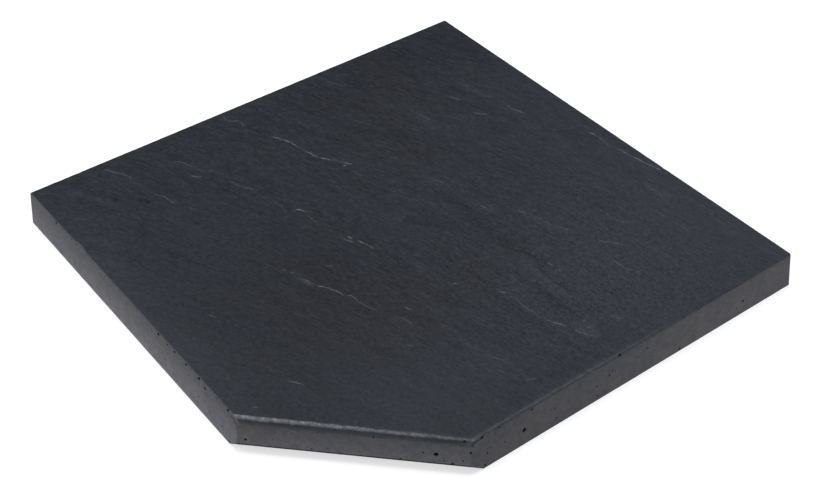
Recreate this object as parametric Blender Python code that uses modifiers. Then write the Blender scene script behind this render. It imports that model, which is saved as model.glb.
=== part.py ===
"""Cast-stone slab, square on plan, with one corner clipped to a rounded nosing.

The slab is cast face down in a drafted mould.  A thin dark face mix goes in first, with the
slate texture of the mould on its outer side, and a grey body mix fills the mould behind it.
The face mix covers the whole top and turns down over the nosing.  On the straight sides it
ends flush, so that its edge shows there as a thin dark line.

Frame: metres, +Z up.  The underside lies on Z = 0 and the origin is the middle of the
square underside.  The sides run along X and Y, and the clipped corner is at +X, -Y.
"""
import math

import bmesh
import bpy
from mathutils import Matrix, Vector

# Driving dimensions, in metres.
UNDERSIDE = 0.500            # side of the square underside, before the corner is clipped
THICKNESS = 0.036            # underside to face
DRAFT = 0.0028               # how far each side leans in, from the underside up to the face
CLIP_LEG = 0.1314            # length of each face edge that the clipped corner takes away
CORNER_RADIUS = 0.0015       # upright corners of the mould
NOSING_RADIUS = 0.0067       # between the face and the clipped side
UNDERCUT_HEIGHT = 0.0095     # how far up the cut under the nosing reaches
UNDERCUT_DEPTH = 0.0082      # how far in it reaches, at the underside
FACE_MIX = 0.0015            # thickness of the dark face mix
NOSING_WRAP = 0.0062         # how far below the face the face mix ends on the nosing
JOINT_GAP = 0.0003           # clearance between the two mixes

# Construction values.
ARC_STEPS = 8                # segments of the nosing arc
CORNER_STEPS = 2             # segments of a mould corner
OVERSIZE = 0.010             # how far the mould block runs past the slab, up and down
REACH = 0.400                # half length of the nosing prism, and its depth behind the origin

# Colour (linear), roughness and metallic value of each mix.
FACE_LOOK = ((0.033, 0.037, 0.044, 1.0), 0.62, 0.0)
BODY_LOOK = ((0.090, 0.088, 0.098, 1.0), 0.85, 0.0)

# The nosing's own axes: outwards from the clipped corner, up, and along the clipped side.
OUTWARDS = Vector((1.0, -1.0, 0.0)).normalized()
UPWARDS = Vector((0.0, 0.0, 1.0))
ALONG = OUTWARDS.cross(UPWARDS)
NOSING_AXES = Matrix((OUTWARDS, UPWARDS, ALONG)).transposed().to_4x4()

FACE_SIDE = UNDERSIDE - 2 * DRAFT
CLIP_DISTANCE = (FACE_SIDE - CLIP_LEG) / math.sqrt(2)
LEAN = math.atan2(DRAFT, THICKNESS)


def clear_scene():
    """Remove every object of the scene."""
    for item in list(bpy.data.objects):
        bpy.data.objects.remove(item, do_unlink=True)


def new_collection(name):
    """A collection that hangs from the scene."""
    group = bpy.data.collections.new(name)
    bpy.context.scene.collection.children.link(group)
    return group


def new_material(name, look):
    """A Principled material with one colour, roughness and metallic value."""
    colour, roughness, metallic = look
    material = bpy.data.materials.new(name)
    material.use_nodes = True
    material.diffuse_color = colour
    shader = material.node_tree.nodes["Principled BSDF"]
    shader.inputs["Base Color"].default_value = colour
    shader.inputs["Roughness"].default_value = roughness
    shader.inputs["Metallic"].default_value = metallic
    return material


def nosing_face(height, inset):
    """Outward distance of the leaning nosing face at a height, set in by inset."""
    lean_out = DRAFT * (THICKNESS - height) / THICKNESS
    return CLIP_DISTANCE + lean_out - inset / math.cos(LEAN)


def nosing_arc(inset):
    """Arc from the face to the leaning nosing face, set in by inset, from top to bottom."""
    centre_out = CLIP_DISTANCE - NOSING_RADIUS * (1 - math.sin(LEAN)) / math.cos(LEAN)
    centre_up = THICKNESS - NOSING_RADIUS
    radius = NOSING_RADIUS - inset
    points = []
    for step in range(ARC_STEPS + 1):
        angle = math.pi / 2 + (LEAN - math.pi / 2) * step / ARC_STEPS
        points.append((centre_out + radius * math.cos(angle), centre_up + radius * math.sin(angle)))
    return points


def face_mix_profile():
    """The face mix, cut square to the nosing: a flat sheet that turns down at its end."""
    lip = THICKNESS - NOSING_WRAP
    inner = [point for point in nosing_arc(FACE_MIX) if point[1] > lip]
    outer = [point for point in nosing_arc(0.0) if point[1] > lip]
    end = [(nosing_face(lip, FACE_MIX), lip), (nosing_face(lip, 0.0), lip)]
    return [(-REACH, THICKNESS - FACE_MIX)] + inner + end + outer[::-1] + [(-REACH, THICKNESS)]


def body_mix_profile():
    """The body mix, cut square to the nosing, with its undercut and the rebate for the lip."""
    inset = FACE_MIX + JOINT_GAP
    shelf = THICKNESS - NOSING_WRAP - JOINT_GAP
    crown = [point for point in nosing_arc(inset) if point[1] > shelf]
    undercut = [
        (nosing_face(UNDERCUT_HEIGHT, 0.0) - UNDERCUT_DEPTH, 0.0),
        (nosing_face(UNDERCUT_HEIGHT, 0.0), UNDERCUT_HEIGHT),
    ]
    rebate = [(nosing_face(shelf, 0.0), shelf), (nosing_face(shelf, inset), shelf)]
    return [(-REACH, 0.0)] + undercut + rebate + crown[::-1] + [(-REACH, THICKNESS - inset)]


def nosing_prism(name, profile):
    """A mesh object with the profile swept along the clipped side, far past both its ends."""
    curve = bpy.data.curves.new(name, "CURVE")
    curve.dimensions = "2D"
    curve.fill_mode = "BOTH"
    curve.extrude = REACH
    spline = curve.splines.new("POLY")
    spline.points.add(len(profile) - 1)
    for point, (out, up) in zip(spline.points, profile):
        point.co = (out, up, 0.0, 1.0)
    spline.use_cyclic_u = True

    outline = bpy.data.objects.new(name + "_outline", curve)
    bpy.context.scene.collection.objects.link(outline)
    evaluated = outline.evaluated_get(bpy.context.evaluated_depsgraph_get())
    mesh = bpy.data.meshes.new_from_object(evaluated)
    bpy.data.objects.remove(outline, do_unlink=True)

    work = bmesh.new()
    work.from_mesh(mesh)
    bmesh.ops.remove_doubles(work, verts=work.verts, dist=0.00001)
    bmesh.ops.recalc_face_normals(work, faces=work.faces)
    work.to_mesh(mesh)
    work.free()

    mesh.name = name
    prism = bpy.data.objects.new(name, mesh)
    prism.matrix_world = NOSING_AXES
    return prism


def mould_side(height):
    """Side of the square inside of the mould at a height."""
    return UNDERSIDE - 2 * DRAFT * height / THICKNESS


def make_mould_block(collection):
    """Cutter: the drafted square inside of the mould, with rounded upright corners."""
    low = -OVERSIZE
    high = THICKNESS + OVERSIZE
    work = bmesh.new()
    bmesh.ops.create_cone(
        work,
        cap_ends=True,
        segments=4,
        radius1=mould_side(low) / math.sqrt(2),
        radius2=mould_side(high) / math.sqrt(2),
        depth=high - low,
        matrix=Matrix.Translation((0, 0, (low + high) / 2)) @ Matrix.Rotation(math.pi / 4, 4, "Z"),
    )
    mesh = bpy.data.meshes.new("mould_block")
    work.to_mesh(mesh)
    work.free()

    block = bpy.data.objects.new("mould_block", mesh)
    rounding = block.modifiers.new("upright_corners", "BEVEL")
    rounding.width = CORNER_RADIUS
    rounding.segments = CORNER_STEPS
    block.hide_render = True
    block.display_type = "WIRE"
    collection.objects.link(block)
    return block


def make_mix(name, profile, look, mould, collection):
    """One mix of the slab: its nosing prism, kept where it lies inside the mould."""
    mix = nosing_prism(name, profile)
    mix.data.materials.append(new_material(name, look))
    fill = mix.modifiers.new("inside_the_mould", "BOOLEAN")
    fill.operation = "INTERSECT"
    fill.object = mould
    collection.objects.link(mix)
    return mix


def build():
    clear_scene()
    parts = new_collection("stone_slab")
    cutters = new_collection("stone_slab_cutters")
    mould = make_mould_block(cutters)
    make_mix("slate_face", face_mix_profile(), FACE_LOOK, mould, parts)
    make_mix("stone_body", body_mix_profile(), BODY_LOOK, mould, parts)


build()
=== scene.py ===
"""Looks of the cast-stone slab: a riven slate face, a grey cast body and soft studio light.

Two pieces stand for the two CAD solids.  The face is a fine sheet with a directional riven
relief, cleft lines and worn edges, which turns down over the nosing.  The body is a shell of
side walls with shallow unevenness, air holes and a worn lower edge.

Lengths are in metres unless a name ends in _MM or a comment says millimetres.  The slab's
corners are A (-X, -Y), B (-X, +Y) and C (+X, +Y).  The nosing of the clipped corner runs from
E, on the side from A, to D, on the side to C.  A side is named by its two corners.
"""
import math

import bmesh
import bpy
import numpy as np
from mathutils import Matrix, Vector


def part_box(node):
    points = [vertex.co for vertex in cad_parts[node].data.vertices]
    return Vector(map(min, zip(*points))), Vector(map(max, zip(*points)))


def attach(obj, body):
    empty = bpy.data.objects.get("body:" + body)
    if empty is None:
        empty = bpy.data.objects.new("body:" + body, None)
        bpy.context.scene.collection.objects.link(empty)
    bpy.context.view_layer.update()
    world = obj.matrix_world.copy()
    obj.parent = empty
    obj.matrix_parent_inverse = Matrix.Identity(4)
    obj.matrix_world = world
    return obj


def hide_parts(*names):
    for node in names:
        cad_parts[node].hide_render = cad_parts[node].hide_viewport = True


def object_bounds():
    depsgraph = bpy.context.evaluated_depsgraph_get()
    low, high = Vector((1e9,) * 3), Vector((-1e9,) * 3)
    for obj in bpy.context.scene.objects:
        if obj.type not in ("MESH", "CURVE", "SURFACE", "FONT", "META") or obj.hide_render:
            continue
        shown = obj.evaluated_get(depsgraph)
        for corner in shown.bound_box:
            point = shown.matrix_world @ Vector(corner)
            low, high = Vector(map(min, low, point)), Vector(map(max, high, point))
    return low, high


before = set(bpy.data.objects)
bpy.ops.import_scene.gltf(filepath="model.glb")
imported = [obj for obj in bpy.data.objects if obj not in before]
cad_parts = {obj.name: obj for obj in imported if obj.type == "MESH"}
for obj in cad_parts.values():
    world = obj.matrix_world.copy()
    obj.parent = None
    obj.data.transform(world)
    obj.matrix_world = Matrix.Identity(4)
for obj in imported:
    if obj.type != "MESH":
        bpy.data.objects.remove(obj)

CAD_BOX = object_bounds()
MM = 0.001
ROOT2 = math.sqrt(2)

# ---------------------------------------------------------------- the slab's own shape

face_low, face_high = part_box("slate_face")
_, body_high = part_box("stone_body")
TOP = face_high.z
LIP = face_low.z                  # lower edge of the face mix on the nosing
HALF_UNDERSIDE = body_high.x

DRAFT = 2.8 * MM                  # how far each side leans in, from the underside to the face
CLIP_LEG = 131.4 * MM             # length of each face edge that the clipped corner takes away
NOSING_RADIUS = 6.7 * MM          # between the face and the clipped side
UNDERCUT_HEIGHT = 9.5 * MM        # how far up the cut under the nosing reaches
UNDERCUT_DEPTH = 8.2 * MM         # how far in it reaches, at the underside
FACE_MIX = 1.5 * MM               # thickness of the dark face mix
SKIN = FACE_MIX + 0.15 * MM       # thickness of the face piece, with half the CAD's joint gap
SEAM = TOP - SKIN                 # where the face piece and the body piece meet inside
CORNER_RADIUS = {"A": 0.9 * MM, "B": 0.9 * MM, "C": 1.3 * MM}     # upright corners

HALF_FACE = HALF_UNDERSIDE - DRAFT
LEAN = math.atan2(DRAFT, TOP)
CLIP_DISTANCE = (2 * HALF_FACE - CLIP_LEG) / ROOT2
ARC_OUT = CLIP_DISTANCE - NOSING_RADIUS * (1 - math.sin(LEAN)) / math.cos(LEAN)
ARC_UP = TOP - NOSING_RADIUS

OUTWARDS = np.array([1.0, -1.0, 0.0]) / ROOT2
E_TO_D = np.array([1.0, 1.0, 0.0]) / ROOT2


def half_side(height):
    """Half the side of the square at a height."""
    return HALF_UNDERSIDE - DRAFT * height / TOP


def steps_between(start, end, cells):
    return [start + (end - start) * k / cells for k in range(1, cells + 1)]


def nosing_face(height):
    """Outward distance of the leaning nosing face at a height."""
    return CLIP_DISTANCE + DRAFT * (TOP - height) / TOP


def nosing_out(height, inset=0.0):
    """Outward distance of the whole nosing profile at a height, with its undercut and arc."""
    if height < UNDERCUT_HEIGHT:
        return nosing_face(UNDERCUT_HEIGHT) - UNDERCUT_DEPTH * (1 - height / UNDERCUT_HEIGHT)
    radius = NOSING_RADIUS - inset
    if height > ARC_UP + radius * math.sin(LEAN):
        return ARC_OUT + math.sqrt(max(radius ** 2 - (height - ARC_UP) ** 2, 0.0))
    return nosing_face(height) - inset / math.cos(LEAN)


# ---------------------------------------------------------------- noise

def gradient_table(seed, size=256):
    angles = np.random.default_rng(seed).uniform(0, 2 * math.pi, (size, size))
    return np.cos(angles), np.sin(angles)


def noise(x, y, seed):
    """Smooth gradient noise of about -1 to 1, one bump a unit."""
    gx, gy = gradient_table(seed)
    size = gx.shape[0]
    xi, yi = np.floor(x).astype(int), np.floor(y).astype(int)
    fx, fy = x - xi, y - yi

    def corner(dx, dy):
        i, j = (xi + dx) % size, (yi + dy) % size
        return gx[i, j] * (fx - dx) + gy[i, j] * (fy - dy)

    u, v = fx ** 3 * (fx * (fx * 6 - 15) + 10), fy ** 3 * (fy * (fy * 6 - 15) + 10)
    low = corner(0, 0) * (1 - u) + corner(1, 0) * u
    high = corner(0, 1) * (1 - u) + corner(1, 1) * u
    return 1.5 * (low * (1 - v) + high * v)


def layers(x, y, seed, octaves=3, gain=0.5):
    """Noise summed over octaves, of about -1 to 1."""
    total, weight, size = 0.0, 0.0, 1.0
    for octave in range(octaves):
        scale = 2.03 ** octave
        total = total + size * noise(x * scale, y * scale, seed + octave)
        weight += size
        size *= gain
    return total / weight


def smooth_step(value, low, high):
    t = np.clip((value - low) / (high - low), 0, 1)
    return t * t * (3 - 2 * t)


# ---------------------------------------------------------------- the riven grain

def grain_along(x, y):
    return x * 0.966 + y * 0.259


def grain_across(x, y):
    """The grain climbs at about 25 degrees near corner A and lies almost level near corner C."""
    return y - 0.30 * x + 0.2 * x * x + 0.4 * x * y


# Cleft lines of the riven face, in millimetres on plan: strength, then the points of its run.
# A positive strength is a pale scarp that faces the front, pale stone with a painted highlight, a negative
# one a dark scarp in painted shade.
CLEFTS_MM = (
    (1.05, (-185, -20), (-172, -14), (-163, -10), (-150, -8), (-137, -5), (-124, -2)),
    (0.95, (-126, -2), (-118, 3), (-113, 8), (-105, 12), (-97, 18)),
    (1.00, (-101, 8), (-99, 12)),
    (0.28, (-89, 12), (-83, 12), (-75, 15)),
    (0.18, (-146, 182), (-138, 186), (-124, 186), (-109, 190), (-101, 195)),
    (0.80, (-83, 197), (-74, 197), (-61, 202)),
    (0.53, (-130, 158), (-127, 162), (-121, 164), (-117, 168)),
    (0.55, (-96, 162), (-89, 165), (-80, 172)),
    (0.25, (-148, 116), (-131, 116), (-105, 122)),
    (0.60, (-232, 77), (-221, 82), (-210, 87)),
    (0.75, (-85, 51), (-77, 57)),
    (0.36, (-190, 14), (-180, 17), (-168, 17)),
    (0.22, (-37, 71), (-21, 76), (-4, 81)),
    (0.38, (-32, 61), (-26, 66), (-15, 69)),
    (0.83, (2, 229), (9, 232), (21, 231), (31, 231)),
    (1.30, (38, 233), (49, 235), (69, 238), (90, 243)),
    (0.42, (95, 216), (110, 216), (121, 215)),
    (0.25, (122, 194), (148, 197), (173, 199)),
    (0.36, (101, 157), (116, 158), (124, 162), (130, 169)),
    (0.36, (126, 126), (133, 127), (138, 132), (148, 139)),
    (0.38, (153, 117), (166, 118), (175, 120), (180, 124)),
    (0.28, (52, 96), (67, 103), (82, 106), (96, 111), (104, 116)),
    (0.38, (21, 73), (30, 75), (37, 78)),
    (-1.25, (94, 60), (105, 64), (113, 65), (121, 63), (128, 59), (143, 58), (151, 58), (160, 60), (168, 63)),
    (0.90, (105, 67), (109, 70)),
    (2.00, (124, 69), (131, 71)),
    (0.68, (136, 72), (142, 71)),
    (0.92, (127, 11), (129, 13), (134, 16)),
    (0.42, (135, 16), (147, 17), (160, 17), (170, 19)),
    (0.68, (171, 20), (178, 21), (184, 23), (191, 27), (198, 30)),
    (0.55, (200, 31), (210, 34), (219, 40)),
    (1.00, (208, 67), (218, 72)),
    (0.62, (-242, -40), (-230, -38), (-224, -31), (-213, -32)),
    (0.42, (-208, -117), (-200, -110), (-188, -106), (-174, -100), (-172, -93), (-158, -89)),
    (0.41, (-149, -90), (-141, -88), (-131, -84), (-125, -80), (-121, -76)),
    (0.20, (-112, -80), (-103, -75), (-95, -73), (-86, -72), (-72, -74)),
    (0.92, (-178, -115), (-173, -112), (-169, -106)),
    (1.10, (-75, -65), (-70, -61), (-64, -59)),
    (0.47, (-62, -60), (-52, -60), (-44, -59)),
    (1.35, (-15, -48), (-11, -48), (-6, -47)),
    (0.90, (-4, -45), (2, -43), (9, -41), (18, -40)),
    (0.70, (-14, -53), (-8, -52), (-2, -48)),
    (0.56, (-238, -175), (-230, -171), (-222, -166), (-214, -162), (-206, -161)),
    (0.40, (-183, -159), (-171, -154), (-163, -150), (-148, -148)),
    (0.36, (-138, -141), (-125, -136)),
    (-0.42, (-120, -217), (-94, -215), (-74, -210), (-63, -206)),
    (0.50, (-12, -121), (-6, -118)),
    (0.75, (-25, -131), (-20, -129)),
    (0.46, (-5, -117), (2, -113), (10, -113), (18, -110), (26, -108)),
    (0.35, (2, -118), (10, -115), (18, -113), (25, -111)),
    (0.95, (24, -109), (30, -104), (38, -100), (51, -96)),
    (0.58, (49, -96), (55, -92), (65, -91), (70, -90)),
    (0.42, (66, -91), (75, -89), (84, -86)),
    (1.00, (6, -87), (14, -82)),
    (0.78, (101, -74), (115, -72)),
    (0.45, (91, -65), (104, -61)),
    (0.70, (130, -90), (136, -88)),
    (0.76, (104, -192), (110, -188), (118, -183)),
    (0.80, (-2, -203), (2, -200), (6, -197)),
    (0.45, (9, -200), (15, -198)),
    (0.60, (112, -230), (116, -226)),
    (0.90, (93, -13), (99, -11)),
    (0.40, (183, -45), (195, -38), (205, -35)),
    (0.50, (220, -41), (227, -31)),
    (0.85, (197, 44.5), (200, 46)),
    (0.60, (203, 45.5), (206, 44)),
    (0.70, (205, 42), (209, 44)),
    (0.45, (205, 32), (205, 38)),
    (0.35, (217, 38), (222, 42)),
    (0.35, (205, 66), (212, 69)),
    (0.35, (204, 57), (206, 58)),
    (0.40, (180, 123), (182, 125)),
)
CLEFT_REACH_MM = 14.0        # how far from its line a cleft still lifts or lowers the face
CLEFT_STEP_MM = 0.34         # height of the strongest scarp
CLEFT_TAPER_MM = 4.0         # over which a cleft fades at its ends
CLEFT_GLOW_MM = 3.0          # half width of the paler stone and painted light along a pale scarp, and of the painted shade along a dark one
FAR_MM = 9.0                 # a distance from a cleft at which nothing of it shows


def smooth_run(points, steps=4):
    """A Catmull-Rom curve through the points of a run."""
    points = np.array(points, float)
    padded = np.vstack([2 * points[0] - points[1], points, 2 * points[-1] - points[-2]])
    curve = [points[0]]
    for before, start, end, after in zip(padded, padded[1:], padded[2:], padded[3:]):
        for t in np.arange(1, steps + 1) / steps:
            bend = (
                2 * start
                + (end - before) * t
                + (2 * before - 5 * start + 4 * end - after) * t ** 2
                + (3 * start - before - 3 * end + after) * t ** 3
            )
            curve.append(bend / 2)
    return np.array(curve)


def cleft_fields(x, y):
    """Signed distance to the nearest cleft line, its strength, the relief in mm, and the glow."""
    x_mm, y_mm = x / MM, y / MM
    jag = 0.9 * noise(x_mm / 6.0, y_mm / 6.0, 71) + 0.5 * noise(x_mm / 2.4, y_mm / 2.4, 72)
    distance = np.full(x.shape, FAR_MM)
    strength = np.zeros(x.shape)
    relief = np.zeros(x.shape)
    glow = np.zeros(x.shape)
    for force, *run in CLEFTS_MM:
        points = smooth_run(run)
        low, high = points.min(0) - CLEFT_REACH_MM, points.max(0) + CLEFT_REACH_MM
        near = np.nonzero((x_mm > low[0]) & (x_mm < high[0]) & (y_mm > low[1]) & (y_mm < high[1]))[0]
        px, py = x_mm[near], y_mm[near]
        best = np.full(px.shape, 1e9)
        signed = np.zeros(px.shape)
        travelled = np.zeros(px.shape)
        start = 0.0
        for (ax, ay), (bx, by) in zip(points[:-1], points[1:]):
            length = math.hypot(bx - ax, by - ay)
            dx, dy = (bx - ax) / length, (by - ay) / length
            t = np.clip((px - ax) * dx + (py - ay) * dy, 0, length)
            off = np.hypot(px - ax - t * dx, py - ay - t * dy)
            side = np.sign(dx * (py - ay) - dy * (px - ax))
            closer = off < best
            best[closer] = off[closer]
            signed[closer] = (side * off)[closer]
            travelled[closer] = (start + t)[closer]
            start += length
        signed = signed + jag[near]
        ends = np.minimum(travelled, start - travelled)
        taper = smooth_step(ends, 0.0, min(CLEFT_TAPER_MM, start / 2))
        fade = np.exp(-np.abs(signed) / 5.0) * smooth_step(CLEFT_REACH_MM - best, 0, 4)
        relief[near] += 0.5 * CLEFT_STEP_MM * force * taper * fade * np.tanh(signed / 0.4)
        glow[near] += force * taper * np.exp(-(best / CLEFT_GLOW_MM) ** 2)
        own = np.abs(signed) < np.abs(distance[near])
        distance[near[own]] = signed[own]
        reach = 1 - smooth_step(np.abs(signed[own]), 2.6, 4.0)
        strength[near[own]] = force * taper[own] * reach
    return distance, strength, relief, glow


def riven_relief(x, y, clefts_mm):
    """Height of the riven face over its flat, in metres."""
    along, across = grain_along(x, y), grain_across(x, y)
    wander = 0.006 * noise(x / 0.050, y / 0.050, 13)
    swell = 0.26 * layers(along / 0.110, across / 0.042, 11, 2)
    bands = 0.20 * layers(along / 0.085 + 3.1, (across + wander) / 0.0135, 21, 3)
    beds = 0.11 * layers(along / 0.026, (across + wander) / 0.0062, 31, 2)
    grit = 0.03 * noise(x / 0.0036, y / 0.0036, 41)
    from_side = HALF_FACE - np.maximum(np.abs(x), np.abs(y))
    edge = 0.45 + 0.55 * smooth_step(from_side, 0.0, 25 * MM)
    return ((swell + bands) * edge + beds + grit + clefts_mm) * MM


# Slow changes of tone over the face, partly the stone's own tone and partly painted sheen and light: centre
# and radii in mm, brightness, warmth.
TONE_PATCHES = (
    (170, 150, 150, 130, 0.10, -0.50),
    (230, 60, 60, 120, 0.05, -0.30),
    (60, -110, 75, 70, -0.05, 0.90),
    (-180, 130, 80, 110, -0.06, 0.45),
    (-90, 60, 80, 45, -0.03, 0.25),
    (-190, -190, 110, 70, 0.05, -0.10),
    (95, 20, 45, 70, -0.03, 0.60),
    (-30, 130, 60, 70, -0.04, 0.10),
    (0, -262, 260, 45, 0.58, -0.10),
    (190, -130, 70, 60, 0.24, 0.0),
    (-225, 130, 35, 80, -0.12, 0.0),
    (20, 120, 40, 40, -0.10, 0.0),
    (-190, 235, 50, 20, -0.22, 0.0),
    (10, -75, 65, 45, -0.10, 0.0),
    (130, 90, 50, 60, 0.12, 0.0),
    (230, 5, 14, 60, -0.14, 0.0),
    (-215, 205, 60, 60, -0.10, 0.0),
    (235, 190, 40, 70, -0.08, 0.0),
    (-240, 0, 9, 260, 0.06, 0.0),
)

# Soft bands of the riven face: centre, half length and half width in mm, slope in degrees,
# brightness.
SOFT_BANDS = (
    (-95, 194, 50, 4.0, 9, 0.20), (-105, 177, 45, 4.0, 11, -0.20), (10, 241, 60, 4.0, 0, -0.20),
    (-165, 101, 75, 3.5, 14, 0.13), (-112, 119, 35, 5.0, 15, 0.18), (-22, 65, 22, 5.0, 14, 0.16),
    (30, 76, 20, 5.0, 15, 0.18), (68, 99, 26, 4.0, 14, 0.10), (55, 57, 55, 6.0, 0, -0.16),
    (12, 57, 14, 5.0, 0, -0.12), (88, 57, 18, 5.0, 0, -0.14), (124, 69, 11, 5.0, 0, -0.18),
    (135, 54, 38, 5.0, 4, 0.26), (141, 53, 24, 3.6, -2, 0.22), (168, 42, 32, 5.0, 5, -0.30),
    (207, 41, 13, 8.0, 0, 0.36),
    (165, 22, 32, 5.0, 6, 0.13), (166, 8, 34, 5.0, 6, -0.12), (132, 22, 5, 13.0, 0, 0.14),
    (-135, 37, 68, 3.5, 19, 0.13), (-133, 57, 6, 6.0, 0, -0.24), (5, -3, 28, 4.0, 18, 0.15),
    (28, -117, 16, 4.0, 5, -0.14), (-110, -156, 48, 5.0, 2, 0.14), (-172, -170, 22, 5.0, 24, -0.26),
    (-128, -190, 17, 5.0, 0, -0.18), (-89, -183, 8, 5.0, 0, -0.18), (-215, -210, 38, 4.0, 22, 0.16),
    (-232, -231, 18, 5.0, 0, -0.20), (-140, -226, 18, 4.5, 25, 0.15), (-104, -218, 9, 5.0, 0, -0.18),
    (120, 215, 30, 4.0, -2, 0.16), (163, 183, 28, 4.0, 3, 0.12), (87, 163, 15, 5.0, 0, -0.14),
    (150, 140, 22, 5.0, 10, 0.13), (-54, 165, 7, 7.0, 20, -0.20), (-60, 118, 18, 4.0, 0, -0.12),
    (32, 123, 8, 9.0, 0, -0.18), (-54, -100, 5, 18.0, 0, -0.13), (-156, -121, 16, 4.0, 0, -0.20),
    (-168, -74, 7, 5.0, 0, -0.16), (-126, -62, 7, 6.0, 0, -0.20), (90, -82, 24, 5.0, 14, 0.10),
)


def tone_fields(x, y):
    """Brightness and warmth of the face, about -1 to 1, and how speckled and streaky it is."""
    brightness, warmth = np.zeros(x.shape), np.zeros(x.shape)
    for cx, cy, rx, ry, bright, warm in TONE_PATCHES:
        spread = np.exp(-((x / MM - cx) / rx) ** 2 - ((y / MM - cy) / ry) ** 2)
        brightness += bright * spread
        warmth += warm * spread
    wander = 1.8 * noise(x / 0.022, y / 0.022, 55)
    for cx, cy, half_length, half_width, slope, bright in SOFT_BANDS:
        turn = math.radians(slope)
        dx, dy = x / MM - cx, y / MM - cy + wander
        run = dx * math.cos(turn) + dy * math.sin(turn)
        off = dy * math.cos(turn) - dx * math.sin(turn)
        brightness += bright * np.exp(-(run / half_length) ** 4 - (off / half_width) ** 2)
    along, across = grain_along(x, y), grain_across(x, y)
    brightness += 0.04 * layers(along / 0.09, across / 0.030, 51, 3)
    warmth += 0.45 * layers(along / 0.08, across / 0.035, 61, 3)
    front = smooth_step(-y, 0.030, 0.130) * smooth_step(x, -0.200, -0.050)
    back = np.exp(-((x - 0.190) / 0.135) ** 2 - ((y - 0.115) / 0.125) ** 2)
    near_nosing = smooth_step(x - y, 0.270, 0.350)
    speckled = 1 + 1.90 * back - 0.04 * front + 0.25 * near_nosing
    streaky = 1 - 0.35 * back - 0.50 * front - 0.28 * near_nosing
    return brightness, warmth, speckled, streaky


# ---------------------------------------------------------------- air holes

# Air holes in the sides that are seen: distance along the side and height, then radius, in mm.
# The side A-E is measured from A, the nosing from E, and the side D-C from D.
AIR_HOLES_MM = {
    "AE": (
        (54, 34.8, 1.0), (66, 35.8, 0.5), (74, 35.8, 0.4), (84, 35.6, 0.5), (92, 35.7, 0.4),
        (240.5, 35.0, 1.1), (256, 35.2, 0.6), (267, 35.0, 0.9), (286, 35.4, 0.9), (306, 35.2, 1.1),
        (316, 32.9, 1.1), (324, 35.7, 0.45), (334, 35.7, 0.5), (350.3, 35.6, 0.9), (342, 11.5, 0.6),
        (322, 11.5, 0.5), (61, 16.0, 0.5), (352.5, 3.0, 0.6),
    ),
    "ED": (
        (6, 15.4, 0.85), (158, 19.5, 1.4), (148, 20.2, 0.55), (179, 15.4, 0.55), (185, 24.6, 0.8),
        (130, 11.2, 0.6), (171, 11.3, 0.7), (59, 12.3, 0.45), (109, 31.0, 0.6), (164, 13.3, 0.45),
        (180, 34.0, 0.9), (72, 14.6, 0.4), (97, 14.0, 0.35), (43.5, 27.0, 0.4),
    ),
    "DC": (
        (11, 34.4, 1.0), (54, 15.7, 1.5), (16, 14.7, 0.6), (13, 3.2, 0.7), (34, 15.7, 0.5),
        (62, 33.2, 0.8), (28, 35.0, 0.6), (86, 19.6, 0.6), (132, 16.4, 0.6), (133, 4.9, 0.6),
        (146, 19.6, 0.5), (149, 23.6, 0.6), (157, 35.1, 1.1), (189, 25.2, 0.6), (305, 14.1, 0.9),
        (161, 7.2, 0.5), (228, 2.6, 0.9), (88, 8.0, 0.5),
    ),
}
HIDDEN_HOLES = 26            # random air holes on each of the two back sides
FINE_HOLES = {"AE": 34, "ED": 5, "DC": 34, "CB": 34, "BA": 34}    # smaller random ones
HOLE_SCALE = 1.25            # every air hole is made this much wider than listed
HOLE_DEPTH = 1.3             # depth of an air hole over its radius
HOLE_BRIM = 1.1              # where an air hole starts to sink, over its radius
REFINED_RIM = 1.3 * MM       # the mesh is finer this far round an air hole

SIDE_NORMAL = {
    "AE": np.array([0.0, -1.0, 0.0]),
    "ED": OUTWARDS,
    "DC": np.array([1.0, 0.0, 0.0]),
    "CB": np.array([0.0, 1.0, 0.0]),
    "BA": np.array([-1.0, 0.0, 0.0]),
}
SIDES = tuple(SIDE_NORMAL)   # in their order round the slab, each named by its first and last corner


def corner_at(name, height, out):
    """A corner of the slab's outline at a height, where the nosing stands at that distance."""
    half = half_side(height)
    places = {
        "A": (-half, -half),
        "B": (-half, half),
        "C": (half, half),
        "E": (ROOT2 * out - half, -half),
        "D": (half, half - ROOT2 * out),
    }
    return np.array(places[name])


def air_holes():
    """Centre, inward direction and radius of every air hole, in metres."""
    rng = np.random.default_rng(5)
    nosing_top = nosing_out(ARC_UP)

    def scattered(count, *ranges):
        return [tuple(rng.uniform(low, high) for low, high in ranges) for _ in range(count)]

    holes = []
    for first, last in SIDES:
        side = first + last
        start, end = corner_at(first, TOP, nosing_top), corner_at(last, TOP, nosing_top)
        length = np.linalg.norm(end - start) / MM
        listed = list(AIR_HOLES_MM.get(side, ()))
        if not listed:
            listed = scattered(HIDDEN_HOLES, (6, length - 6), (3, 34), (0.5, 1.3))
        listed += scattered(FINE_HOLES[side], (4, length - 4), (3, 33), (0.25, 0.42))
        direction = (end - start) / np.linalg.norm(end - start)
        for along, up, radius in listed:
            proud = DRAFT * (TOP - up * MM) / TOP
            if side == "ED":
                proud = nosing_out(up * MM) - nosing_top
            place = start + direction * along * MM + SIDE_NORMAL[side][:2] * proud
            holes.append((np.array([*place, up * MM]), -SIDE_NORMAL[side], HOLE_SCALE * radius * MM))
    return holes


AIR_HOLES = air_holes()


def cut_faces(work, faces, cuts):
    """Cut every edge of the faces. The order is by index, so that every run gives one mesh."""
    work.edges.index_update()
    edges = sorted({edge for face in faces for edge in face.edges}, key=lambda edge: edge.index)
    bmesh.ops.subdivide_edges(work, edges=edges, cuts=cuts, use_grid_fill=True)


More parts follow.
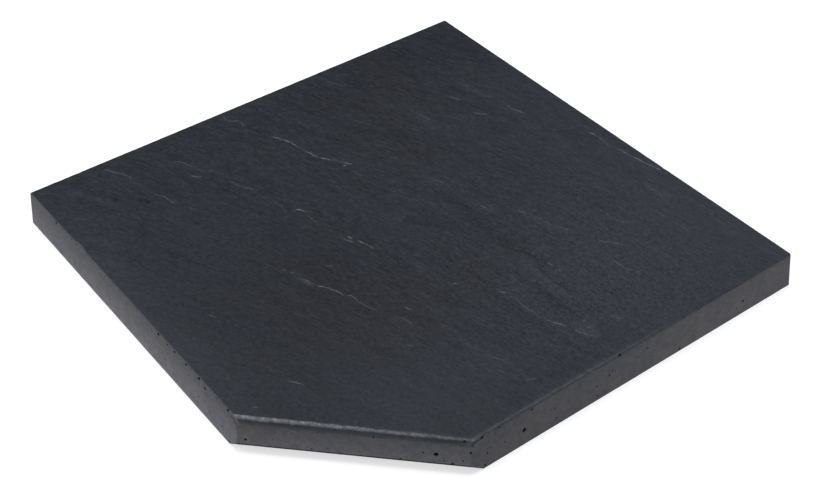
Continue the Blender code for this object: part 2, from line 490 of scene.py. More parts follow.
def carve_air_holes(work, layer, cuts):
    """Refine the mesh round each air hole and sink it. The layer keeps how deep a point lies."""
    centres = np.array([hole[0] for hole in AIR_HOLES])
    radii = np.array([hole[2] for hole in AIR_HOLES])
    close = []
    for face in work.faces:
        gaps = np.linalg.norm(centres - np.array(face.calc_center_median()), axis=1)
        if len(face.verts) <= 4 and (gaps < radii + REFINED_RIM).any():
            close.append(face)
    cut_faces(work, close, cuts)
    for vert in work.verts:
        gaps = np.linalg.norm(centres - np.array(vert.co), axis=1)
        nearest = int(np.argmin(gaps / radii))
        _, inward, radius = AIR_HOLES[nearest]
        share = gaps[nearest] / (HOLE_BRIM * radius)
        if share < 1:
            sunk = math.sqrt(1 - share ** 2)
            vert.co += Vector(inward) * (HOLE_DEPTH * radius * sunk)
            vert[layer] = min(1.0, 1.3 * sunk)


# ---------------------------------------------------------------- the face piece

FACE_CELLS = 196             # cells of the face along the unclipped part of a side
CLIP_CELLS = 78              # cells along the clipped part
REFINED_BAND_MM = 2.1        # half width of the finer strip of cells along each cleft
REFINED_MARGIN = 4 * MM      # the finer cells stay this far inside the outline
ARC_ROWS = 12                # rows over the nosing's arc
WRAP_ROWS = 2                # rows below it, down to the lip
ARRIS_WEAR = 0.28 * MM       # mean width of the worn arris, times a factor for each side
ARRIS_WEAR_ON_SIDE = {"AE": 2.2, "DC": 1.5, "CB": 1.0, "BA": 1.0}
MOST_WEAR = 1.1 * MM
SHARP_DEGREES = 38           # an edge that turns more than this is shaded as a sharp one

# How far the body's grey shows through the skin's edge on each side, at its top and its foot.
SKIRT_BARE = {"AE": (1.0, 1.0), "DC": (0.0, 0.55), "CB": (0.2, 0.7), "BA": (0.3, 0.8)}


def rounded_corner(x, y, half):
    """Pull a point of the square outline onto the rounding of the corner that it is near."""
    for name, (sx, sy) in {"A": (-1, -1), "B": (-1, 1), "C": (1, 1)}.items():
        radius = CORNER_RADIUS[name]
        cx, cy = sx * (half - radius), sy * (half - radius)
        if (x - cx) * sx > 0 and (y - cy) * sy > 0:
            reach = math.hypot(x - cx, y - cy)
            return cx + (x - cx) * radius / reach, cy + (y - cy) * radius / reach
    return x, y


def arris_wear(distance_round):
    """Width of the worn arris at each place round the outline, with a few chips."""
    s = np.asarray(distance_round) / MM
    even = 0.35 * layers(s / 9.0, s * 0 + 0.5, 81, 3)
    chips = np.maximum(noise(s / 5.0, s * 0 + 3.5, 85) - 0.45, 0) * 2.2
    return ARRIS_WEAR * (1 + even + chips)


def nosing_profile():
    """Outward distance, height and angle of each row from the face's edge down to the lip."""
    profile = []
    for row in range(ARC_ROWS + 1):
        angle = math.pi / 2 + (LEAN - math.pi / 2) * row / ARC_ROWS
        out = ARC_OUT + NOSING_RADIUS * math.cos(angle)
        profile.append((out, ARC_UP + NOSING_RADIUS * math.sin(angle), angle))
    arc_end = profile[-1][1]
    for height in steps_between(arc_end, LIP, WRAP_ROWS):
        profile.append((nosing_face(height), height, LEAN))
    return profile


def face_sheet():
    """Points, faces and outline of the face piece before its relief is added.

    Every point also has a place on plan, as if the nosing were rolled out flat.
    """
    leg = 2 * HALF_FACE - ROOT2 * ARC_OUT
    long_part = np.linspace(-HALF_FACE, HALF_FACE - leg, FACE_CELLS + 1)
    short_part = np.linspace(HALF_FACE - leg, HALF_FACE, CLIP_CELLS + 1)
    xs = np.concatenate([long_part, short_part[1:]])
    ys = -xs[::-1]
    count = len(xs) - 1

    points, faces, normals, plan = [], [], [], []
    index = {}

    def add(key, position, normal, flat):
        index[key] = len(points)
        points.append(position)
        normals.append(normal)
        plan.append(flat)

    def cell(part, i, j):
        """The points round a cell: four, or three where the clipped side cuts one off."""
        keys = ((part, i, j), (part, i + 1, j), (part, i + 1, j + 1), (part, i, j + 1))
        return [index[key] for key in keys if key in index]

    for j in range(count + 1):
        for i in range(min(count, FACE_CELLS + j) + 1):
            add(("face", i, j), (xs[i], ys[j], TOP), (0.0, 0.0, 1.0), (xs[i], ys[j]))
    for j in range(count):
        faces += [cell("face", i, j) for i in range(min(count, FACE_CELLS + j + 1))]

    # The nosing's first row of points is the face's clipped edge.
    profile = nosing_profile()
    last = len(profile) - 1
    columns = range(CLIP_CELLS + 1)
    for column in columns:
        index[("nosing", 0, column)] = index[("face", FACE_CELLS + column, column)]
    travelled = 0.0
    for row in range(1, last + 1):
        out, height, angle = profile[row]
        travelled += math.dist(profile[row][:2], profile[row - 1][:2])
        half_length = ROOT2 * half_side(height) - out
        normal = OUTWARDS * math.cos(angle) + np.array([0, 0, math.sin(angle)])
        for column in columns:
            sideways = E_TO_D * (2 * column / CLIP_CELLS - 1) * half_length
            spot = OUTWARDS * out + sideways + np.array([0, 0, height])
            flat = OUTWARDS * (ARC_OUT + travelled) + sideways
            add(("nosing", row, column), tuple(spot), tuple(normal), tuple(flat[:2]))
    for row in range(last):
        faces += [cell("nosing", row, column) for column in range(CLIP_CELLS)]

    # The outline: the straight sides, and the two ends of the nosing.
    rim = [("AE", ("face", i, 0)) for i in range(FACE_CELLS + 1)]
    rim += [("AE", ("nosing", row, 0)) for row in range(1, last + 1)]
    lip = [("nosing", last, column) for column in columns]
    rim_end = [("DC", ("nosing", row, CLIP_CELLS)) for row in range(last, 0, -1)]
    rim_end += [("DC", ("face", count, j)) for j in range(CLIP_CELLS, count + 1)]
    rim_end += [("CB", ("face", i, count)) for i in range(count - 1, -1, -1)]
    rim_end += [("BA", ("face", 0, j)) for j in range(count - 1, 0, -1)]
    return points, faces, normals, plan, index, rim, lip, rim_end, last


def refine_along_clefts(points, faces):
    """Cut the cells along each cleft into nine. The old points keep their places in the list."""
    mesh = bpy.data.meshes.new("sheet")
    mesh.from_pydata(points, [], faces)
    work = bmesh.new()
    work.from_mesh(mesh)
    bpy.data.meshes.remove(mesh)
    middles = np.array([face.calc_center_median() for face in work.faces])
    distance, strength, _, _ = cleft_fields(middles[:, 0], middles[:, 1])
    x, y, z = middles.T
    limit = HALF_FACE - REFINED_MARGIN
    inside = (np.abs(x) < limit) & (np.abs(y) < limit) & ((x - y) / ROOT2 < ARC_OUT - REFINED_MARGIN)
    wanted = inside & (z == z.max()) & (np.abs(distance) < REFINED_BAND_MM) & (strength != 0)
    cut_faces(work, [face for face, want in zip(work.faces, wanted) if want], 2)
    work.verts.index_update()
    refined = [tuple(vert.co) for vert in work.verts]
    cells = [[vert.index for vert in face.verts] for face in work.faces]
    work.free()
    return refined, cells


def face_relief(plan):
    """Relief, distance past the nosing's edge, and cleft values at points laid out flat."""
    x, y = plan.T
    distance, strength, cleft_relief, glow = cleft_fields(x, y)
    relief = riven_relief(x, y, cleft_relief)
    beyond = np.maximum((x - y) / ROOT2 - ARC_OUT, 0)
    relief *= 1 - 0.45 * smooth_step(beyond, 0.0, 8 * MM)
    waviness = 0.25 * MM * noise(grain_along(x, y) / 0.021, x * 0, 91)
    relief += waviness * smooth_step(beyond, 1 * MM, 6 * MM)
    return relief, beyond, distance, strength, glow


def worn_outline(outline, points, normals, relief, surface):
    """Step the surface's outline in by its wear, and make two points under each of its places.

    The upper one lies on the side just below the arris, the lower one at the skin's foot.
    """
    places = points[[at for _, at in outline]]
    steps = np.linalg.norm(np.diff(places, axis=0), axis=1)
    wear = arris_wear(np.concatenate([[0], np.cumsum(steps)]))
    below, bare = [], []
    for (side, at), worn in zip(outline, wear):
        worn = min(worn * ARRIS_WEAR_ON_SIDE[side], MOST_WEAR)
        spot, normal = points[at], normals[at]
        corner = spot + normal * relief[at]
        half = half_side(spot[2])
        x, y = rounded_corner(spot[0], spot[1], half)
        pulled = np.array([x - spot[0], y - spot[1], 0.0])
        inward = pulled / np.linalg.norm(pulled) if pulled.any() else -SIDE_NORMAL[side]
        surface[at] = corner + pulled + inward * worn
        foot = spot - normal * SKIN
        if spot[2] == TOP:
            foot[2] = SEAM
        for down in (corner - normal * worn, foot):
            grow = half_side(down[2]) - half
            below.append(down + pulled + SIDE_NORMAL[side] * grow)
        bare += SKIRT_BARE[side]
    return below, bare


def build_face():
    """The dark face: a riven sheet with worn edges, which turns down over the nosing."""
    points, faces, normals, plan, index, rim, lip, rim_end, last = face_sheet()
    coarse = len(points)
    refined, faces = refine_along_clefts(points, faces)
    added = np.array(refined[coarse:], float).reshape(-1, 3)
    points = np.vstack([np.array(points, float), added])
    normals = np.vstack([np.array(normals, float), np.tile([0.0, 0.0, 1.0], (len(added), 1))])
    plan = np.vstack([np.array(plan, float), added[:, :2]])
    relief, beyond, distance, strength, glow = face_relief(plan)
    surface = points + normals * relief[:, None]

    # Two rings of points under the outline: the skirt between the arris and the skin's foot.
    outline = [(side, index[key]) for side, key in rim + rim_end]
    ring_points, ring_bare = worn_outline(outline, points, normals, relief, surface)
    outline = [at for _, at in outline]
    base, total = len(points), len(outline)
    upper = [base + 2 * k for k in range(total)]
    lower = [at + 1 for at in upper]
    at_e, at_d = len(rim) - 1, len(rim)     # the lip's two ends in the outline
    ring_faces = []
    for k in range(total):
        after = (k + 1) % total
        if k != at_e:
            ring_faces.append([outline[after], outline[k], upper[k], upper[after]])
            ring_faces.append([upper[after], upper[k], lower[k], lower[after]])

    # The inner side of the nosing wrap, row by row under the outer one.
    inner = {}
    for row in range(last + 1):
        first, final = lower[at_e - last + row], lower[at_d + last - row]
        inner[(row, 0)], inner[(row, CLIP_CELLS)] = first, final
        e_end, d_end = ring_points[first - base], ring_points[final - base]
        for column in range(1, CLIP_CELLS):
            share = column / CLIP_CELLS
            inner[(row, column)] = base + len(ring_points)
            ring_points.append(e_end * (1 - share) + d_end * share)
            ring_bare.append(0.0)
    for row in range(last):
        for column in range(CLIP_CELLS):
            corners = ((row, column), (row, column + 1), (row + 1, column + 1), (row + 1, column))
            ring_faces.append([inner[corner] for corner in corners])
    for column in range(CLIP_CELLS):
        edge = [index[lip[column + 1]], index[lip[column]]]
        if column == 0:
            edge.append(upper[at_e])
        edge += [inner[(last, column)], inner[(last, column + 1)]]
        if column == CLIP_CELLS - 1:
            edge.append(upper[at_d])
        ring_faces.append(edge)
    flat = lower[: at_e - last + 1]
    flat += [inner[(0, column)] for column in range(1, CLIP_CELLS)]
    flat += lower[at_d + last:]
    ring_faces.append(flat[::-1])

    everything = np.vstack([surface, np.array(ring_points)])
    mesh = bpy.data.meshes.new("slate_face_riven")
    mesh.from_pydata(everything.tolist(), [], faces + ring_faces)

    def on_rings(values, level):
        return np.concatenate([values, np.full(len(ring_points), level)])

    x, y = np.vstack([plan, everything[base:, :2]]).T
    brightness, warmth, speckled, streaky = tone_fields(x, y)
    toward_d = np.clip((plan[:, 0] + plan[:, 1]) / CLIP_LEG, -1, 1)
    wrap_bare = 1 - smooth_step(points[:, 2], LIP - 0.2 * MM, LIP + 3.6 * MM)
    store(mesh, {
        "cleft_distance": on_rings(distance, FAR_MM),
        "cleft_strength": on_rings(strength, 0.0),
        "tone": brightness + 0.24 * on_rings(glow, 0.0),
        "warmth": warmth,
        "speckled": speckled,
        "streaky": streaky,
        "past_nosing": on_rings(beyond / MM, 9.0),
        # how much the nosing's ridge is rubbed pale and carries its painted highlight, strongest towards E
        "ridge_rub_and_highlight": on_rings(0.72 - 0.28 * toward_d, 0.0),
        "bare": np.concatenate([wrap_bare, ring_bare]),
    })
    grain = np.column_stack([grain_along(x, y), grain_across(x, y)])
    corners = np.empty(len(mesh.loops), np.int32)
    mesh.loops.foreach_get("vertex_index", corners)
    layer = mesh.uv_layers.new(name="grain")
    layer.data.foreach_set("uv", grain[corners].astype(np.float32).ravel())
    return finish_mesh(mesh, cuts=2)


def store(mesh, fields):
    """Keep values at the mesh's points, by name, for its material."""
    for name, values in fields.items():
        attribute = mesh.attributes.new(name, "FLOAT", "POINT")
        attribute.data.foreach_set("value", np.asarray(values, np.float32).ravel())


def finish_mesh(mesh, cuts):
    """Sink the air holes, shade the mesh smooth up to its edges, and make its object."""
    work = bmesh.new()
    work.from_mesh(mesh)
    layer = work.verts.layers.float.new("hole")
    carve_air_holes(work, layer, cuts)
    work.to_mesh(mesh)
    work.free()
    mesh.shade_smooth()
    mesh.set_sharp_from_angle(angle=math.radians(SHARP_DEGREES))
    piece = bpy.data.objects.new(mesh.name, mesh)
    bpy.context.scene.collection.objects.link(piece)
    return piece


# ---------------------------------------------------------------- the body piece

WALL_CELL = 1.45 * MM        # spacing of the wall's columns and rows
CORNER_COLUMNS_MM = (0.35, 0.75, 1.3, 2.0, 2.8)     # columns beside an upright corner
LOWER_WEAR = 0.45 * MM       # mean width of the worn lower edge
SLIVER = 0.05 * MM           # a gap too small to see
UNDERCUT_SHADE_TOP = UNDERCUT_HEIGHT + 1.10 * MM      # the painted shade in the undercut ends here

# Painted light and shade of each side of the body: its brightness just under the skin and at its foot, paler
# towards the foot as if lit from the floor.
PAINTED_WALL_SHADES = {
    "AE": (0.75, 1.37), "ED": (0.70, 1.22), "DC": (0.82, 0.945), "CB": (0.80, 1.10), "BA": (0.75, 1.12),
}
SHADE_TOP = 0.87             # share of the slab's height where the upper brightness is reached


def wall_shares(first, last):
    """Places of the wall's columns along one side, as shares of its length, finer at a corner."""
    start, end = corner_at(first, TOP, CLIP_DISTANCE), corner_at(last, TOP, CLIP_DISTANCE)
    length = np.linalg.norm(end - start)
    cells = int(round(length / WALL_CELL))
    shares = set(np.round(np.linspace(0, 1, cells + 1)[:-1], 6))
    near = [d * MM / length for d in CORNER_COLUMNS_MM]
    if first in CORNER_RADIUS:
        shares = {s for s in shares if s == 0 or s > near[-1] * 1.2} | set(near)
    if last in CORNER_RADIUS:
        shares = {s for s in shares if s < 1 - near[-1] * 1.2} | {1 - s for s in near}
    return sorted(shares)


def wall_rows():
    """Height and inset of each row of the wall, from the underside to the seam."""
    outer = [LOWER_WEAR]
    outer += steps_between(LOWER_WEAR, UNDERCUT_HEIGHT, round((UNDERCUT_HEIGHT - LOWER_WEAR) / WALL_CELL))
    outer += [UNDERCUT_SHADE_TOP]
    outer += steps_between(UNDERCUT_HEIGHT, LIP, round((LIP - UNDERCUT_HEIGHT) / WALL_CELL))
    inner = [LIP + SLIVER] + steps_between(LIP, SEAM, 4)
    return [(height, 0.0) for height in outer] + [(height, SKIN) for height in inner]


def build_body():
    """The grey body: side walls, a plain underside, and a flat top hidden under the face."""
    columns = [(first, last, share) for first, last in SIDES for share in wall_shares(first, last)]
    rows = wall_rows()
    wide = len(columns)
    points = []
    for height, inset in rows:
        out = nosing_out(height, inset)
        half = half_side(height)
        corners = {first: corner_at(first, height, out) for first, _ in SIDES}
        row = []
        for first, last, share in columns:
            spot = corners[first] * (1 - share) + corners[last] * share
            x, y = rounded_corner(spot[0], spot[1], half)
            row.append((x, y, height))
        points.append(row)
    points = np.array(points)
    sides = np.array([first + last for first, last, _ in columns])
    shares = np.array([share for _, _, share in columns])
    outward = np.array([SIDE_NORMAL[side] for side in sides])
    steps = np.linalg.norm(np.diff(points[0], axis=0), axis=1)
    travelled = np.concatenate([[0], np.cumsum(steps)])
    s = np.tile(travelled, (len(rows), 1))
    z = points[:, :, 2]
    # Shallow unevenness that dies out at the corners, and a ragged foot.
    uneven = 0.10 * layers(s / 0.035, z / 0.018, 101, 3) + 0.05 * noise(s / 0.004, z / 0.004, 111)
    uneven = uneven * np.clip(np.minimum(shares, 1 - shares) * 60, 0, 1)[None, :]
    points = points + outward[None] * (uneven * MM)[:, :, None]

    wear = 1 + 0.8 * np.clip(layers(travelled / 0.006, travelled * 0 + 1.5, 121, 3), -0.5, 1)
    foot = points[0] - outward * (LOWER_WEAR * wear)[:, None]
    foot[:, 2] = 0.0

    everything = np.vstack([foot[None], points]).reshape(-1, 3)
    faces = []
    for row in range(len(rows)):
        for k in range(wide):
            after = (k + 1) % wide
            low, high = row * wide, (row + 1) * wide
            faces.append([low + k, low + after, high + after, high + k])
    faces.append(list(range(wide))[::-1])
    top_row = len(rows) * wide
    faces.append([top_row + k for k in range(wide)])
    mesh = bpy.data.meshes.new("stone_body_cast")
    mesh.from_pydata(everything.tolist(), [], faces)
    top_shade, foot_shade = np.array([PAINTED_WALL_SHADES[side] for side in sides]).T
    height = everything[:, 2].reshape(-1, wide)
    shade = foot_shade + (top_shade - foot_shade) * np.clip(height / TOP / SHADE_TOP, 0, 1)
    # Painted shade: darker towards D on the side D-C and towards A on the side A-E.
    near_d = (sides == "DC") * (1 - smooth_step(shares, 0.2, 0.75))
    near_a = (sides == "AE") * (1 - smooth_step(shares, 0.15, 0.5))
    # Painted shade in the undercut, fainter near the floor.
    undercut_shade = (sides == "ED") * (height < UNDERCUT_SHADE_TOP + SLIVER)
    undercut_shade = undercut_shade * (0.55 + 0.45 * smooth_step(height, 3 * MM, 9 * MM))
    store(mesh, {"shade": shade * (1 - 0.14 * near_d - 0.06 * near_a), "undercut_shade": undercut_shade})
    return finish_mesh(mesh, cuts=3)


# ---------------------------------------------------------------- materials

class Surface:
    """A material with one Principled shader, and short ways to add nodes to it."""

    def __init__(self, name):
        self.material = bpy.data.materials.new(name)
        self.material.use_nodes = True
        self.tree = self.material.node_tree
        self.shader = self.tree.nodes["Principled BSDF"].inputs
        self.position = self.node("NewGeometry")["Position"]

    def node(self, kind, inputs=(), **settings):
        """The outputs of a new node. Each input is a constant or another node's output."""
        made = self.tree.nodes.new("ShaderNode" + kind)
        for key, value in settings.items():
            setattr(made, key, value)
        for key, value in dict(inputs).items():
            self.put(value, made.inputs[key])
        return made.outputs

    def put(self, value, socket):
        if isinstance(value, bpy.types.NodeSocket):
            self.tree.links.new(value, socket)
        else:
            socket.default_value = value

    def math(self, operation, first, second=0.0):
        return self.node("Math", {0: first, 1: second}, operation=operation)[0]

    def times(self, first, second):
        return self.math("MULTIPLY", first, second)

    def total(self, *values):
        result = values[0]
        for value in values[1:]:
            result = self.math("ADD", result, value)
        return result

    def weighted(self, *pairs):
        """The sum of values, each times its weight."""
        return self.total(*(self.times(value, weight) for value, weight in pairs))

    def value(self, name):
        """A value that the mesh keeps at its points."""
        return self.node("Attribute", attribute_name=name)["Fac"]

    def moved(self, vector, offset):
        return self.node("VectorMath", {0: vector, 1: offset}, operation="ADD")[0]

    def noise(self, scale, detail=2.0, roughness=0.55, vector=None, dimensions="3D"):
        """Noise of about 0 to 1 over the point's position, or over another vector."""
        place = vector or self.position
        inputs = {"Vector": place, "Scale": scale, "Detail": detail, "Roughness": roughness}
        return self.node("TexNoise", inputs, noise_dimensions=dimensions)[0]

    def grain(self, uv, squeeze, scale, detail, roughness):
        """Noise drawn out along the grain: the squeeze is its scale there over that across."""
        drawn_out = self.node("VectorMath", {0: uv, 1: (squeeze, 1.0, 1.0)}, operation="MULTIPLY")
        return self.noise(scale, detail, roughness, drawn_out[0], "2D")

    def centred(self, value, size):
        """A 0 to 1 value turned into one about 0, times a size."""
        return self.times(self.math("SUBTRACT", value, 0.5), size)

    def ramp(self, value, low, high, out_low=0.0, out_high=1.0):
        """A smooth change from one level at low to another at high."""
        inputs = enumerate((value, low, high, out_low, out_high))
        return self.node("MapRange", inputs, interpolation_type="SMOOTHSTEP")[0]

    def blend(self, factor, first, second):
        inputs = {0: factor, 6: first, 7: second}
        return self.node("Mix", inputs, data_type="RGBA", clamp_factor=True)[2]

    def coated(self, colour, *coats):
        """A colour under coats, each given as its mask and its own colour."""
        for mask, coat in coats:
            colour = self.blend(mask, colour, coat)
        return colour

    def brighten(self, colour, factor):
        return self.node("VectorMath", {0: colour, "Scale": factor}, operation="SCALE")[0]

    def bump(self, height, distance, strength):
        inputs = {"Strength": strength, "Distance": distance, "Height": height}
        self.put(self.node("Bump", inputs)[0], self.shader["Normal"])

    def finish(self, colour, roughness, specular):
        """Give the shader its colour and gloss."""
        self.put(colour, self.shader["Base Color"])
        self.put(roughness, self.shader["Roughness"])
        self.put(specular, self.shader["Specular IOR Level"])
        return self.material


# Colours are linear. The face's is a dark base, cool or warm, plus a lift times its brightness.
FACE_COOL = (0.0127, 0.0155, 0.0206, 1.0)
FACE_WARM = (0.0126, 0.0134, 0.0174, 1.0)
FACE_LIFT = (0.0153, 0.0160, 0.0177)
FACE_PALE = (0.120, 0.125, 0.135, 1.0)
RIDGE_PALE_HIGHLIGHT = (0.158, 0.164, 0.176, 1.0)
FACE_SHADE_BLACK = (0.004, 0.004, 0.005, 1.0)
BODY_COOL = (0.088, 0.089, 0.102, 1.0)
BODY_WARM = (0.092, 0.090, 0.096, 1.0)
BODY_DARK = (0.022, 0.023, 0.026, 1.0)
PAINTED_SHADE_BLACK = (0.004, 0.004, 0.004, 1.0)

CHIP_X = -149 * MM           # middle of the long chip in the arris of the side A-E


def body_colour(surface):
    """Mottled grey of the cast body, with its sandy grain and its patches."""
    clouds = surface.noise(38.0, 4.0, 0.6)
    patches = surface.noise(150.0, 3.0, 0.6)
    grain = surface.noise(620.0, 3.0, 0.7)
    colour = surface.blend(surface.ramp(clouds, 0.35, 0.65), BODY_COOL, BODY_WARM)
    sizes = ((clouds, 0.40), (patches, 0.65), (grain, 1.30))
    level = surface.total(1.0, *(surface.centred(marks, size) for marks, size in sizes))
    return surface.brighten(colour, level), grain, patches


def air_hole_shade_mask(surface):
    # The air holes are painted black as the shade inside them.
    return surface.ramp(surface.value("hole"), 0.1, 0.6)


def cleft_marks(surface):
    """Masks of the pale lines, pale stone with a painted highlight, of the dark lines, painted shade, and of
    the painted shade at the foot of a pale one.
    """
    strength = surface.value("cleft_strength")
    rising = surface.math("MAXIMUM", strength, 0.0)
    falling = surface.math("MAXIMUM", surface.times(strength, -1.0), 0.0)
    wobble = surface.centred(surface.noise(700.0), 1.0)
    off = surface.total(surface.value("cleft_distance"), wobble)
    from_line = surface.math("ABSOLUTE", off)
    broken = surface.ramp(surface.noise(130.0, 3.0), 0.38, 0.60, 0.30, 1.15)
    line = surface.times(surface.ramp(from_line, 0.15, 0.68, 1.0, 0.0), broken)
    shadow = surface.ramp(from_line, 0.35, 1.15, 0.6, 0.0)
    foot = surface.times(surface.ramp(off, -3.0, -1.1), surface.ramp(off, -0.9, -0.4, 1.0, 0.0))
    return surface.times(line, rising), surface.times(shadow, falling), surface.times(foot, rising)


def riven_pattern(surface, grain_uv):
    """Brightness of the riven skin over its mean: beds, curved strokes, mottling and speckle."""
    bend = surface.centred(surface.noise(42.0), 0.010)
    bent = surface.moved(grain_uv, surface.node("CombineXYZ", {1: bend})[0])
    bands = surface.grain(bent, 0.14, 62.0, 3.0, 0.6)
    beds = surface.grain(bent, 0.18, 150.0, 3.0, 0.62)
    strokes = surface.grain(bent, 0.24, 350.0, 2.5, 0.6)
    mottle = surface.grain(bent, 0.72, 310.0, 3.0, 0.68)
    speckle = surface.noise(800.0, 2.0, 0.6)
    round_marks = surface.total(surface.centred(mottle, 1.10), surface.centred(speckle, 1.10))
    long_marks = surface.total(
        surface.centred(beds, 0.80),
        surface.centred(strokes, 0.85),
        surface.times(surface.ramp(strokes, 0.54, 0.72), 0.28),
    )
    level = surface.total(
        surface.value("tone"),
        surface.centred(bands, 0.44),
        surface.times(long_marks, surface.value("streaky")),
        surface.times(round_marks, surface.value("speckled")),
    )
    return surface.math("MAXIMUM", level, -0.75), beds, strokes, mottle, speckle


def hairlines(surface, grain_uv):
    """Mask of random hairlines that follow the grain, here and there."""
    hair = surface.grain(grain_uv, 0.30, 62.0, 3.0, 0.5)
    from_line = surface.math("ABSOLUTE", surface.math("SUBTRACT", hair, 0.57))
    where = surface.ramp(surface.noise(34.0, 2.0, 0.5, grain_uv, "2D"), 0.54, 0.66)
    return surface.times(surface.ramp(from_line, 0.0, 0.005, 1.0, 0.0), where)


def ridge_wear_and_highlight(surface, plan_x, plan_y):
    """Mask of the nosing's ridge, rubbed pale and with a painted highlight, strongest towards E, with streaks
    down the nosing.
    """
    past, ridge_rub_and_highlight = surface.value("past_nosing"), surface.value("ridge_rub_and_highlight")
    waves = surface.centred(surface.noise(95.0, 4.0, 0.65), 2.8)
    wavy = surface.total(past, waves, surface.times(ridge_rub_and_highlight, 3.75), -3.15)
    end = surface.total(surface.times(ridge_rub_and_highlight, 4.3), 2.1)
    ridge = surface.times(surface.ramp(wavy, 0.0, 2.2), surface.ramp(wavy, 2.4, end, 1.0, 0.0))
    ridge = surface.times(ridge, surface.ramp(past, 0.0, 0.9))
    along_nosing = surface.node("CombineXYZ", {0: surface.total(plan_x, plan_y)})[0]
    streaks = surface.ramp(surface.noise(170.0, 5.0, 0.75, along_nosing), 0.30, 0.75, 0.72, 1.40)
    rubbed = surface.ramp(surface.noise(300.0, 3.0, 0.7), 0.32, 0.68, 0.45, 1.25)
    ridge = surface.times(ridge, surface.times(rubbed, streaks))
    return surface.times(ridge, ridge_rub_and_highlight)


def rolled_arris_highlight(surface, plan_x, plan_y):
    """Mask of the arris of the side D-C, rubbed pale and with a painted highlight towards D, where it rolls
    over.
    """
    inside = surface.math("SUBTRACT", HALF_FACE, plan_x)
    crest_end = surface.ramp(inside, 1.8 * MM, 4.4 * MM, 1.0, 0.0)
    crest = surface.times(surface.ramp(inside, 0.2 * MM, 1.2 * MM), crest_end)
    haze = surface.ramp(inside, 1.0 * MM, 9.0 * MM, 0.05, 0.0)
    rolled = surface.total(surface.times(crest, 0.15), haze)
    rolled = surface.times(rolled, surface.ramp(plan_y, 0.0, 0.13, 1.0, 0.0))
    blotches = surface.ramp(surface.noise(160.0, 3.0), 0.3, 0.7, 0.5, 1.4)
    return surface.times(rolled, blotches)


def bare_edge(surface, plan_x, plan_y):
    """Mask and colour of the body's grey where it shows through the skin's thin edge."""
    grey, _, _ = body_colour(surface)
    below_e = surface.ramp(plan_y, -0.246, -0.2445, 1.0, 0.0)
    near_e = surface.times(surface.ramp(plan_x, 0.108, 0.114), below_e)
    # The bare grey is dimmed like the painted shade at the top of the walls, less so near E.
    grey = surface.brighten(grey, surface.total(surface.times(near_e, 0.22), 0.62))
    ragged = surface.centred(surface.noise(230.0, 4.0, 0.65), 1.5)
    bare = surface.ramp(surface.total(surface.value("bare"), ragged), 0.15, 0.85)
    from_chip = surface.math("ABSOLUTE", surface.total(plan_x, -CHIP_X))
    worn_width = surface.total(
        surface.ramp(plan_x, -0.24, -0.13, 1.0 * MM, 1.75 * MM),
        surface.times(ragged, 0.6 * MM),
        surface.ramp(from_chip, 2 * MM, 13 * MM, 1.3 * MM, 0.0),
    )
    from_arris = surface.math("SUBTRACT", surface.total(plan_y, HALF_FACE), worn_width)
    worn = surface.ramp(from_arris, -0.4 * MM, 0.4 * MM, 1.0, 0.0)
    return surface.math("MAXIMUM", bare, worn), grey


def face_material():
    surface = Surface("riven_slate_face")
    grain_uv = surface.node("UVMap", uv_map="grain")[0]
    plan_x, plan_y, _ = surface.node("SeparateXYZ", {0: surface.position})
    level, beds, strokes, mottle, speckle = riven_pattern(surface, grain_uv)
    pale, dark, foot = cleft_marks(surface)
    ridge = ridge_wear_and_highlight(surface, plan_x, plan_y)
    dust = surface.ramp(surface.value("past_nosing"), 5.0, 7.0)

    warm_spots = surface.centred(surface.noise(75.0, 3.0), 1.6)
    warmth = surface.total(surface.value("warmth"), warm_spots, 0.30)
    colour = surface.blend(warmth, FACE_COOL, FACE_WARM)
    colour = surface.coated(
        surface.moved(colour, surface.brighten(FACE_LIFT, level)),
        # Painted shade at the foot of pale scarps, pale scarps partly painted highlight, dark scarps painted
        # shade.
        (surface.times(foot, 0.30), FACE_SHADE_BLACK),
        (surface.times(pale, 0.72), FACE_PALE),
        (surface.times(dark, 0.85), FACE_SHADE_BLACK),
        (surface.times(hairlines(surface, grain_uv), 0.08), FACE_PALE),
        # The nosing's ridge: rubbed pale, with a painted highlight.
        (surface.times(ridge, 0.85), RIDGE_PALE_HIGHLIGHT),
        (surface.times(dust, 0.14), FACE_PALE),
        # The arris of D-C: rubbed pale, with a painted highlight.
        (rolled_arris_highlight(surface, plan_x, plan_y), FACE_PALE),
        bare_edge(surface, plan_x, plan_y),
        (air_hole_shade_mask(surface), PAINTED_SHADE_BLACK),
    )
    relief = ((beds, 0.8), (strokes, 0.5), (mottle, 0.4), (speckle, 0.25), (pale, -0.2))
    surface.bump(surface.weighted(*relief), 0.45 * MM, 0.8)
    return surface.finish(colour, surface.ramp(mottle, 0.3, 0.7, 0.50, 0.64), 0.2)


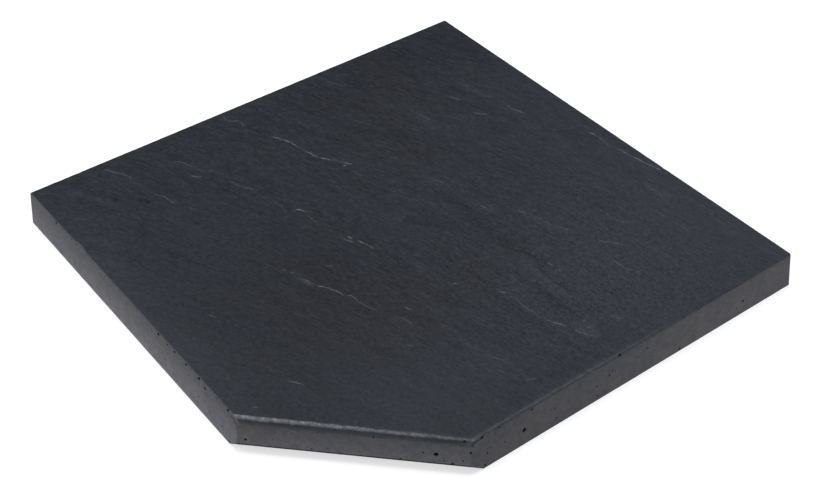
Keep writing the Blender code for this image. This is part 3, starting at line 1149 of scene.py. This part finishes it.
def body_material():
    surface = Surface("cast_stone_body")
    height = surface.node("SeparateXYZ", {0: surface.position})[2]
    colour, grain, patches = body_colour(surface)

    # Pin-prick pores between the larger air holes, painted dark as their shade.
    cells = surface.node("TexVoronoi", {"Vector": surface.position, "Scale": 260.0})["Distance"]
    chance = surface.ramp(surface.noise(90.0, 1.0), 0.54, 0.62)
    pore = surface.times(surface.ramp(cells, 0.06, 0.13, 1.0, 0.0), chance)

    # The dark face mix stains the body just under it, and the undercut is painted dark as shade.
    ragged = surface.centred(surface.noise(260.0, 3.0), 5.0 * MM)
    low = SEAM - 1.2 * MM
    stained = surface.ramp(surface.total(height, ragged), low, low + 1.8 * MM, 0.0, 0.5)

    colour = surface.coated(
        surface.brighten(colour, surface.value("shade")),
        (surface.times(pore, 0.8), BODY_DARK),
        (stained, BODY_DARK),
        (surface.times(surface.value("undercut_shade"), 0.92), PAINTED_SHADE_BLACK),
        (air_hole_shade_mask(surface), PAINTED_SHADE_BLACK),
    )
    surface.bump(surface.weighted((grain, 0.5), (patches, 0.8), (pore, -1.0)), 0.25 * MM, 0.7)
    return surface.finish(colour, surface.ramp(grain, 0.3, 0.7, 0.78, 0.92), 0.3)


# ---------------------------------------------------------------- floor, light and camera

CAMERA_AZIMUTH = -36.54      # degrees round from +X
CAMERA_ELEVATION = 40.55
CAMERA_DISTANCE = 1.3237
CAMERA_ROLL = -0.82
CAMERA_LENS = 64.52
AIM_OFFSET = Vector((0.0177, -0.0055, 0.0))


def make_floor():
    bpy.ops.mesh.primitive_circle_add(vertices=96, radius=9.0, fill_type="NGON")
    floor = bpy.context.object
    floor.name = "studio_floor"
    surface = Surface("pale_floor")
    tone = surface.ramp(surface.noise(3.0), 0.2, 0.8, 0.41, 0.43)
    grey = surface.node("CombineColor", {0: tone, 1: tone, 2: tone})[0]
    floor.data.materials.append(surface.finish(grey, 0.9, 0.1))
    surface.shader["Emission Color"].default_value = (1, 1, 1, 1)
    surface.shader["Emission Strength"].default_value = 0.63
    surface.material.cycles.emission_sampling = "NONE"


def direction(azimuth, elevation):
    a, e = math.radians(azimuth), math.radians(elevation)
    return Vector((math.cos(a) * math.cos(e), math.sin(a) * math.cos(e), math.sin(e)))


def area_light(name, azimuth, elevation, distance, size, power, colour=(1, 1, 1)):
    lamp = bpy.data.lights.new(name, "AREA")
    lamp.shape = "RECTANGLE"
    lamp.size, lamp.size_y = size
    lamp.energy = power
    lamp.color = colour
    holder = bpy.data.objects.new(name, lamp)
    toward = direction(azimuth, elevation)
    holder.location = toward * distance
    holder.rotation_euler = toward.to_track_quat("Z", "Y").to_euler()
    bpy.context.scene.collection.objects.link(holder)


def make_lights():
    world = bpy.data.worlds.new("studio")
    bpy.context.scene.world = world
    world.use_nodes = True
    background = world.node_tree.nodes["Background"]
    background.inputs["Color"].default_value = (0.93, 0.96, 1.0, 1.0)
    background.inputs["Strength"].default_value = 0.28
    area_light("key", -116, 34, 2.4, (1.6, 1.6), 24.0)
    area_light("overhead", -20, 86, 2.2, (1.5, 1.1), 36.0)
    area_light("back_sheen", 105, 38, 2.4, (1.6, 1.0), 12.0, (0.78, 0.89, 1.0))
    area_light("right_fill", 65, 28, 2.4, (1.6, 1.6), 6.0)


def make_camera():
    low, high = CAD_BOX
    aim = (low + high) / 2 + AIM_OFFSET
    toward = direction(CAMERA_AZIMUTH, CAMERA_ELEVATION)
    lens = bpy.data.cameras.new("camera")
    lens.lens = CAMERA_LENS
    lens.sensor_width = 36.0
    camera = bpy.data.objects.new("camera", lens)
    camera.location = aim + toward * CAMERA_DISTANCE
    roll = Matrix.Rotation(math.radians(CAMERA_ROLL), 3, "Z")
    camera.rotation_euler = (toward.to_track_quat("Z", "Y").to_matrix() @ roll).to_euler()
    bpy.context.scene.collection.objects.link(camera)
    bpy.context.scene.camera = camera


# ---------------------------------------------------------------- assembly

def place(piece, node, material):
    piece.data.materials.append(material)
    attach(piece, "root")
    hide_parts(node)


make_camera()
make_floor()
make_lights()
place(build_face(), "slate_face", face_material())
place(build_body(), "stone_body", body_material())
bpy.context.scene.view_settings.view_transform = "Standard"
